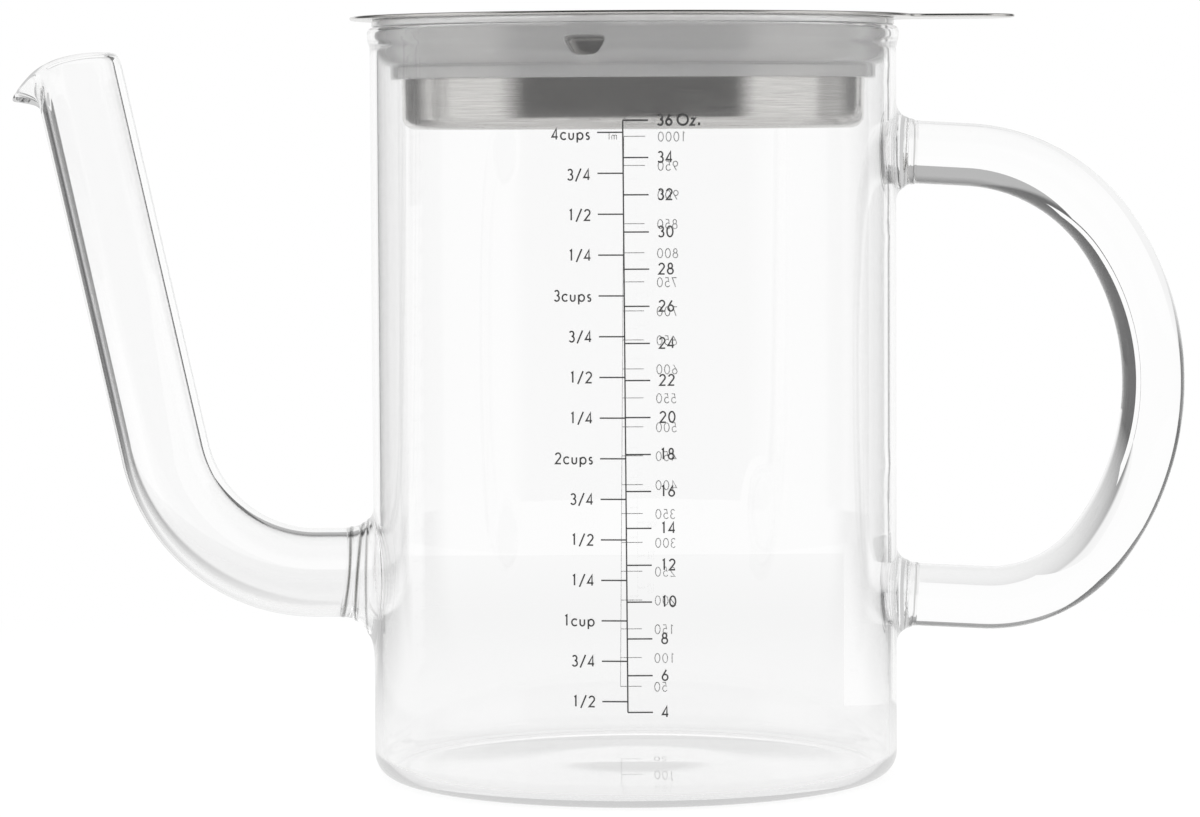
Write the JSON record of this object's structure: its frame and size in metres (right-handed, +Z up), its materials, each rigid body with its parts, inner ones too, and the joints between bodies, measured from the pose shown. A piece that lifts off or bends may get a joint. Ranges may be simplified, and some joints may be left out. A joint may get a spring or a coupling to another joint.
{
  "type": "gravy fat separator",
  "caption": "Clear glass gravy fat separator: straight jug with a low bent spout, a bent rod handle, a silicone sealing ring and a lift-out steel strainer with a flat tab.",
  "frame": {"origin": "on the jug's axis, on its flat underside", "axes": "+Z up along the jug's axis, +X from the jug towards the handle and the strainer's tab, spout along -X"},
  "size_m": [0.2345, 0.1128, 0.1516],
  "materials": {
    "glass": "clear, fire-polished borosilicate",
    "silicone": "translucent satin silicone",
    "steel": "fine circular brushing"
  },
  "bodies": {
    "jug": {"jug_body": "glass", "spout_tube": "glass", "spout_weld": "glass", "handle_rod": "glass", "handle_upper_weld": "glass", "handle_lower_weld": "glass"},
    "seal": {"sealing_ring": "silicone"},
    "strainer": {"strainer_cup": "steel", "strainer_screen": "steel"}
  },
  "joints": [
    {"name": "seal_lift", "type": "slide", "parent": "jug", "child": "seal", "axis": [0, 0, 1], "range_m": [0, 0.05]},
    {"name": "strainer_lift", "type": "slide", "parent": "seal", "child": "strainer", "axis": [0, 0, 1], "range_m": [0, 0.05]}
  ]
}
